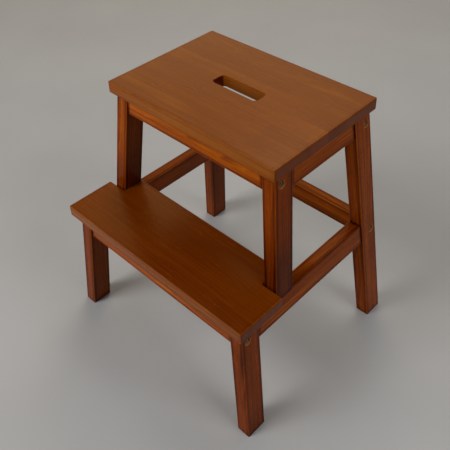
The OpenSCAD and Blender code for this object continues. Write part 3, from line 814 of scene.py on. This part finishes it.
w2 = TREAD_W / 2
y0, y1, y2, tx = -(SEAT_D + REACH) + YS, NOTCH_Y + YS, TONGUE_Y + YS, TONGUE_X
tread = [V2(-w2, y0), V2(w2, y0), V2(w2, y1), V2(tx, y1), V2(tx, y2), V2(-tx, y2), V2(-tx, y1), V2(-w2, y1)]
bm = panel_mesh(tread, [CORNER_R, CORNER_R, 2.4, 0.8, 2.4, 2.4, 0.8, 2.4], TREAD_Z, TREAD_H, ARRIS)
ob = new_object("v_tread_panel", bm)
c = bmesh.new()
screw_cutters(c, "step", "rail")
cut(ob, c)
mid = Vector((0, (y0 + y2) / 2, TREAD_Z + PANEL_T / 2))
# painted shade: the tread is darkened, standing in for the shade of the seat above it
dress(ob, mid, (X, Y, Z), ((y2 - y0) / 2, PANEL_T / 2), ((mid - X * w2, -X), (mid + X * w2, X)), 4.5, -0.12)
finish_piece(ob, "tread_panel", WOOD_PANEL)


# fasteners --------------------------------------------------------------------------
def local_attr(ob, frames):
    """g_pos for turned pieces: metres in the frame of whichever solid each vertex belongs to."""
    me = ob.data
    inv = [m.inverted() for m in frames]
    vals = []
    for v in me.vertices:
        best = min((i @ v.co for i in inv), key=lambda q: q.x * q.x + q.y * q.y)
        vals.append(tuple(best / 1000))
    write_attr(me, "g_pos", "FLOAT_VECTOR", "POINT", vals)


def socket_head(bm, m, seg=48):
    """Head of a furniture bolt: rounded rim, slightly dished face, chamfered hexagon socket, then the threaded shank."""
    top = -SINK + HEAD_T
    r = HEAD_D / 2
    hexr = lambda a, f: f / 2 / math.cos((a % (math.pi / 3)) - math.pi / 6)
    loops = []

    def circle(rr, z):
        loops.append([bm.verts.new(m @ Vector((rr * math.cos(2 * math.pi * i / seg), rr * math.sin(2 * math.pi * i / seg), z))) for i in range(seg)])

    def hexa(f, z):
        ring = []
        for i in range(seg):
            a = 2 * math.pi * i / seg
            ring.append(bm.verts.new(m @ Vector((hexr(a, f) * math.cos(a), hexr(a, f) * math.sin(a), z))))
        loops.append(ring)

    circle(r - 0.45, -SINK)
    circle(r - 0.12, -SINK + 0.12)
    circle(r, -SINK + 0.45)
    circle(r, top - 0.95)
    for k in range(1, 6):
        a = math.pi / 2 * k / 5
        circle(r - 0.95 * (1 - math.cos(a)), top - 0.95 * (1 - math.sin(a)))
    circle(r - 1.7, top - 0.05)
    circle(HEX / 2 + 0.95, top - 0.10)
    hexa(HEX + 0.75, top - 0.14)
    hexa(HEX, top - 0.50)
    hexa(HEX, top - 2.15)
    hexa(HEX - 0.6, top - 2.25)
    for a, b in zip(loops, loops[1:]):
        for i in range(seg):
            j = (i + 1) % seg
            bm.faces.new((a[i], a[j], b[j], b[i]))
    tip = bm.verts.new(m @ Vector((0, 0, top - 2.55)))
    last = loops[-1]
    for i in range(seg):
        bm.faces.new((last[i], last[(i + 1) % seg], tip))
    # shank: plain for half its length, then a rolled thread
    prev = loops[0]
    ring = lambda rr, z, ph=0.0: [bm.verts.new(m @ Vector(((rr + ph * math.cos(2 * math.pi * (z / 1.0) - 2 * math.pi * i / seg)) * math.cos(2 * math.pi * i / seg), (rr + ph * math.cos(2 * math.pi * (z / 1.0) - 2 * math.pi * i / seg)) * math.sin(2 * math.pi * i / seg), z))) for i in range(seg)]
    R0 = BOLT_D / 2
    z_end = -LEG_W - BOLT_IN + 1
    zs = [(R0 + 0.35, -SINK, 0.0), (R0 - 0.02, -SINK - 0.4, 0.0), (R0 - 0.02, -SINK - 22, 0.0), (R0 - 0.3, -SINK - 22.6, 0.0)]
    z = -SINK - 23.0
    while z > z_end + 1.2:
        zs.append((R0 - 0.29, z, 0.27))
        z -= 0.25
    zs += [(R0 - 0.55, z_end + 0.8, 0.0), (R0 - 1.1, z_end, 0.0)]
    for rr, z, ph in zs:
        cur = ring(rr, z, ph)
        for i in range(seg):
            j = (i + 1) % seg
            bm.faces.new((prev[j], prev[i], cur[i], cur[j]))
        prev = cur
    bm.faces.new(list(reversed(prev)))


for joint in JOINTS:
    bm = bmesh.new()
    ms = [at_bolt(joint, s) for s in (-1, 1)]
    for k, m in enumerate(ms):
        socket_head(bm, m @ R(rad(17 + 61 * rnd.random()), 4, "Z"))
    bmesh.ops.recalc_face_normals(bm, faces=bm.faces)
    ob = new_object("v_" + joint + "_bolts", bm)
    local_attr(ob, ms)
    finish_piece(ob, joint + "_bolts", NICKEL, sharp=40)

    bm = bmesh.new()
    ms = []
    for s in (-1, 1):
        m = at_bolt(joint, s) @ T((0, 0, -BARREL_AT)) @ R(rad(-90 if JOINTS[joint][3] > 0 else 90), 4, "X")
        ms.append(m)
        h = BARREL_L / 2
        rb = BARREL_D / 2
        lathe(bm, [(0, -h), (rb - 0.6, -h), (rb - 0.15, -h + 0.2), (rb, -h + 0.6), (rb, h - 0.6), (rb - 0.15, h - 0.2), (rb - 0.6, h), (0, h)], m, 48)
    ob = new_object("v_" + joint + "_barrel_nuts", bm)
    c = bmesh.new()
    for s, m in zip((-1, 1), ms):
        q = at_bolt(joint, s) @ T((0, 0, -BARREL_AT))
        rh = BOLT_D / 2 + FIT
        lathe(c, [(0, -9), (rh + 2.2, -9), (rh + 2.2, -6.8), (rh, -4.4), (rh, 4.4), (rh + 2.2, 6.8), (rh + 2.2, 9), (0, 9)], q, 40)
        # screwdriver slot across the open end
        before = set(c.verts)
        bmesh.ops.create_cube(c, size=1.0, matrix=m @ T((0, 0, BARREL_L / 2)) @ Matrix.Diagonal((14, 1.4, 2.6, 1)))
    cut(ob, c)
    local_attr(ob, ms)
    finish_piece(ob, joint + "_barrel_nuts", ZINC, sharp=30)


def fluted(bm, m):
    """A fluted dowel with chamfered ends."""
    seg, r, h = 48, DOWEL_D / 2, DOWEL_L / 2
    rings = []
    for rr, z, groove in ((r - 1.2, -h, 0), (r - 0.35, -h + 1.2, 0.0), (r, -h + 2.4, 0.28), (r, h - 2.4, 0.28), (r - 0.35, h - 1.2, 0.0), (r - 1.2, h, 0)):
        rings.append([bm.verts.new(m @ Vector(((rr - (groove if i % 2 else 0)) * math.cos(2 * math.pi * i / seg), (rr - (groove if i % 2 else 0)) * math.sin(2 * math.pi * i / seg), z))) for i in range(seg)])
    made = [bm.faces.new(rings[0]), bm.faces.new(rings[-1])]
    for a, b in zip(rings, rings[1:]):
        for i in range(seg):
            j = (i + 1) % seg
            made.append(bm.faces.new((a[i], a[j], b[j], b[i])))
    bmesh.ops.recalc_face_normals(bm, faces=made)


for s, side in ((-1, "left"), (1, "right")):
    bm = bmesh.new()
    ms = [on(s, SIDE @ m) for m in FRAME_DOWELS]
    for m in ms:
        fluted(bm, m)
    ob = new_object("v_side_frame_dowels_" + side, bm)
    local_attr(ob, ms)
    finish_piece(ob, "side_frame_dowels_" + side, BEECH, sharp=50)

bm = bmesh.new()
ms = []
for joint in JOINTS:
    for s in (-1, 1):
        m = at_bolt(joint, s) @ T((-JOINTS[joint][2], 0, -LEG_W))
        ms.append(m)
        fluted(bm, m)
ob = new_object("v_apron_dowels", bm)
local_attr(ob, ms)
finish_piece(ob, "apron_dowels", BEECH, sharp=50)


def wood_screw(bm, m, h, seg=40):
    """Pan-head screw pointing up into a panel: rounded head with a hexagon socket, plain neck, coarse thread, pointed tip."""
    rh, rs = SCREW_HEAD / 2, SCREW_D / 2
    z0 = -h + 8 - 3
    loops = []
    hexr = lambda a, f: f / 2 / math.cos((a % (math.pi / 3)) - math.pi / 6)
    ang = [2 * math.pi * i / seg for i in range(seg)]

    def put(rf, z):
        loops.append([bm.verts.new(m @ Vector((rf(a) * math.cos(a), rf(a) * math.sin(a), z))) for a in ang])

    put(lambda a: hexr(a, 2.6), z0 + 1.9)
    put(lambda a: hexr(a, 2.9), z0 + 0.35)
    put(lambda a: hexr(a, 3.3), z0 + 0.08)
    put(lambda a: rh - 1.3, z0)
    for k in range(6):
        b = math.pi / 2 * k / 5
        put(lambda a, b=b: rh - 1.2 * (1 - math.sin(b)), z0 + 1.2 * (1 - math.cos(b)))
    put(lambda a: rh, z0 + 2.9)
    put(lambda a: rs - 0.05, z0 + 3.0)
    z = z0 + 3.2
    top = SCREW_UP - 4.0
    put(lambda a: rs - 0.05, z + 14)
    z += 14.4
    while z < top:
        put(lambda a, z=z: rs - 0.55 + 0.5 * max(0.0, math.cos(2 * math.pi * z / 2.0 - a)) ** 2, z)
        z += 0.4
    put(lambda a: (rs - 0.55) * 0.55, SCREW_UP - 1.6)
    for a, b in zip(loops, loops[1:]):
        for i in range(seg):
            j = (i + 1) % seg
            bm.faces.new((a[i], a[j], b[j], b[i]))
    lo = bm.verts.new(m @ Vector((0, 0, z0 + 2.2)))
    hi = bm.verts.new(m @ Vector((0, 0, SCREW_UP - 0.1)))
    for i in range(seg):
        j = (i + 1) % seg
        bm.faces.new((lo, loops[0][j], loops[0][i]))
        bm.faces.new((loops[-1][i], loops[-1][j], hi))


for node, groups in (("seat_screws", ("seat_front", "seat_rear")), ("tread_screws", ("step", "rail"))):
    bm = bmesh.new()
    ms = []
    for g in groups:
        for p, h in SCREWS[g]:
            m = T(p) @ R(rnd.random() * 6.28, 4, "Z")
            ms.append(m)
            wood_screw(bm, m, h)
    bmesh.ops.recalc_face_normals(bm, faces=bm.faces)
    ob = new_object("v_" + node, bm)
    local_attr(ob, ms)
    finish_piece(ob, node, ZINC, sharp=45)


# ---------------------------------------------------------------- stage
def stage_floor():
    bm = bmesh.new()
    n = 28
    size = 9.0
    # A floor that turns up into a far, low backdrop in one soft curve.
    prof = [(-4.5, 0.0), (2.6, 0.0)] + [(2.6 + 1.2 * math.sin(a), 1.2 - 1.2 * math.cos(a)) for a in [math.pi / 2 * k / 12 for k in range(1, 13)]] + [(3.8, 5.0)]
    az = rad(45.3)
    fwd = Vector((-math.sin(az), math.cos(az), 0))
    side = Vector((math.cos(az), math.sin(az), 0))
    rows = []
    for d, z in prof:
        rows.append([bm.verts.new(fwd * d + side * u + Vector((0, 0, z))) for u in (-5.0, 5.0)])
    for a, b in zip(rows, rows[1:]):
        f = bm.faces.new((a[0], a[1], b[1], b[0]))
        f.smooth = True
    bmesh.ops.recalc_face_normals(bm, faces=bm.faces)
    ob = new_object("studio_floor", bm)
    mat = bpy.data.materials.new("studio_floor")
    mat.use_nodes = True
    nn = Nodes(mat.node_tree)
    b = mat.node_tree.nodes["Principled BSDF"]
    co = nn.new("ShaderNodeTexCoord").outputs["Object"]
    fine = nn.noise(co, 3.0, 3.0, 0.5)
    col = nn.ramp(fine, [(0.2, (0.37, 0.38, 0.40)), (0.8, (0.41, 0.42, 0.44))])
    nn.put(b.inputs["Base Color"], col)
    b.inputs["Roughness"].default_value = 0.85
    ob.data.materials.append(mat)


stage_floor()


def area(name, loc, target, size, power, colour, size_y=None):
    d = bpy.data.lights.new(name, "AREA")
    d.energy = power
    d.color = colour
    d.size = size
    if size_y:
        d.shape = "RECTANGLE"
        d.size_y = size_y
    o = bpy.data.objects.new(name, d)
    o.location = loc
    o.rotation_euler = (Vector(target) - Vector(loc)).to_track_quat("-Z", "Y").to_euler()
    bpy.context.scene.collection.objects.link(o)
    return o


def lamp(name, azimuth, altitude, strength, size, colour, dist=3.0):
    """A soft box seen from the stool at this azimuth (0 is straight in front, +90 is to the right) and altitude."""
    a, e = rad(azimuth), rad(altitude)
    loc = Vector((math.sin(a) * math.cos(e), -math.cos(a) * math.cos(e), math.sin(e))) * dist
    return area(name, loc + Vector((0, 0, 0.25)), (0, 0, 0.25), size, strength * math.pi ** 2 * dist * dist, colour)


lamp("key_front_left", -18, 50, 0.36, 1.0, (1.0, 0.97, 0.92))
lamp("front_low", -28, 12, 0.48, 1.6, (1.0, 0.96, 0.90))
lamp("rear_high", -160, 60, 0.28, 1.6, (1.0, 0.97, 0.92))
lamp("right_side", 95, 35, 0.32, 1.4, (1.0, 0.97, 0.92))
lamp("rear_left_wall", -135, 34, 0.19, 2.6, (1.0, 0.72, 0.35), 3.6)

world = bpy.data.worlds.new("studio")
bpy.context.scene.world = world
world.use_nodes = True
bg = world.node_tree.nodes["Background"]
bg.inputs[0].default_value = (1.0, 0.96, 0.88, 1)
bg.inputs[1].default_value = 0.10
bpy.context.scene.view_settings.view_transform = "Standard"

# ---------------------------------------------------------------- camera
F_PX, PX, PY = 647.786, 225.0, 150.0
YAW, PITCH, ROLL = rad(45.301), rad(36.55), rad(-2.358)
fwd = Vector((-math.sin(YAW) * math.cos(PITCH), math.cos(YAW) * math.cos(PITCH), -math.sin(PITCH)))
right = Vector((math.cos(YAW), math.sin(YAW), 0))
up = right.cross(fwd)
r2 = right * math.cos(ROLL) + up * math.sin(ROLL)
u2 = -right * math.sin(ROLL) + up * math.cos(ROLL)
cam_data = bpy.data.cameras.new("camera")
cam = bpy.data.objects.new("camera", cam_data)
bpy.context.scene.collection.objects.link(cam)
rot = Matrix((r2, u2, -fwd)).transposed()
cam.matrix_world = T((0.64678, -0.80597 + YS / 1000, 1.067122)) @ rot.to_4x4()
cam_data.sensor_fit = "HORIZONTAL"
cam_data.sensor_width = 36.0
cam_data.lens = F_PX / 450 * 36.0
cam_data.shift_x = (225.0 - PX) / 450
cam_data.shift_y = (PY - 225.0) / 450
cam_data.clip_start = 0.01
bpy.context.scene.camera = cam
